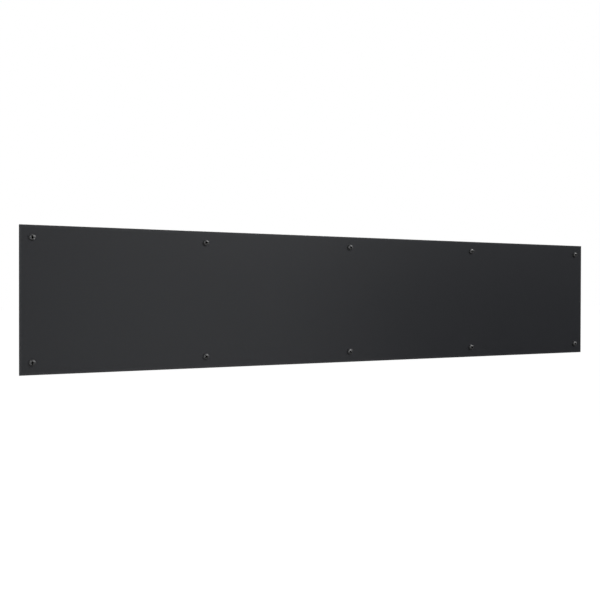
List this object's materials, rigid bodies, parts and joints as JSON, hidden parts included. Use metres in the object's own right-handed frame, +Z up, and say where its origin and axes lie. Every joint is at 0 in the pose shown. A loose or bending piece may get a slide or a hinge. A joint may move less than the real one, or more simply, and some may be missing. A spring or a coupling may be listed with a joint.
{
  "type": "kick plate",
  "caption": "Flat rectangular black metal door kick plate, fastened along its top and bottom edges by pan-head cross-recess screws.",
  "frame": {"origin": "centre of the plate's back face, which lies on the door", "axes": "+X along the plate's length, +Y out of the back face into the door, +Z up the plate's height; the finished face looks towards -Y"},
  "size_m": [0.762, 0.0215, 0.1524],
  "materials": {
    "plate_black": "matte",
    "screw_black": "satin"
  },
  "bodies": {
    "plate": {"plate": "plate_black"},
    "screw_top_1": {"screw_top_1": "screw_black"},
    "screw_top_2": {"screw_top_2": "screw_black"},
    "screw_top_3": {"screw_top_3": "screw_black"},
    "screw_top_4": {"screw_top_4": "screw_black"},
    "screw_top_5": {"screw_top_5": "screw_black"},
    "screw_bottom_1": {"screw_bottom_1": "screw_black"},
    "screw_bottom_2": {"screw_bottom_2": "screw_black"},
    "screw_bottom_3": {"screw_bottom_3": "screw_black"},
    "screw_bottom_4": {"screw_bottom_4": "screw_black"},
    "screw_bottom_5": {"screw_bottom_5": "screw_black"}
  },
  "joints": [
    {"name": "screw_top_1_backs_out", "type": "slide", "parent": "plate", "child": "screw_top_1", "axis": [0, -1, 0], "range_m": [0, 0.02]},
    {"name": "screw_top_2_backs_out", "type": "slide", "parent": "plate", "child": "screw_top_2", "axis": [0, -1, 0], "range_m": [0, 0.02]},
    {"name": "screw_top_3_backs_out", "type": "slide", "parent": "plate", "child": "screw_top_3", "axis": [0, -1, 0], "range_m": [0, 0.02]},
    {"name": "screw_top_4_backs_out", "type": "slide", "parent": "plate", "child": "screw_top_4", "axis": [0, -1, 0], "range_m": [0, 0.02]},
    {"name": "screw_top_5_backs_out", "type": "slide", "parent": "plate", "child": "screw_top_5", "axis": [0, -1, 0], "range_m": [0, 0.02]},
    {"name": "screw_bottom_1_backs_out", "type": "slide", "parent": "plate", "child": "screw_bottom_1", "axis": [0, -1, 0], "range_m": [0, 0.02]},
    {"name": "screw_bottom_2_backs_out", "type": "slide", "parent": "plate", "child": "screw_bottom_2", "axis": [0, -1, 0], "range_m": [0, 0.02]},
    {"name": "screw_bottom_3_backs_out", "type": "slide", "parent": "plate", "child": "screw_bottom_3", "axis": [0, -1, 0], "range_m": [0, 0.02]},
    {"name": "screw_bottom_4_backs_out", "type": "slide", "parent": "plate", "child": "screw_bottom_4", "axis": [0, -1, 0], "range_m": [0, 0.02]},
    {"name": "screw_bottom_5_backs_out", "type": "slide", "parent": "plate", "child": "screw_bottom_5", "axis": [0, -1, 0], "range_m": [0, 0.02]}
  ]
}
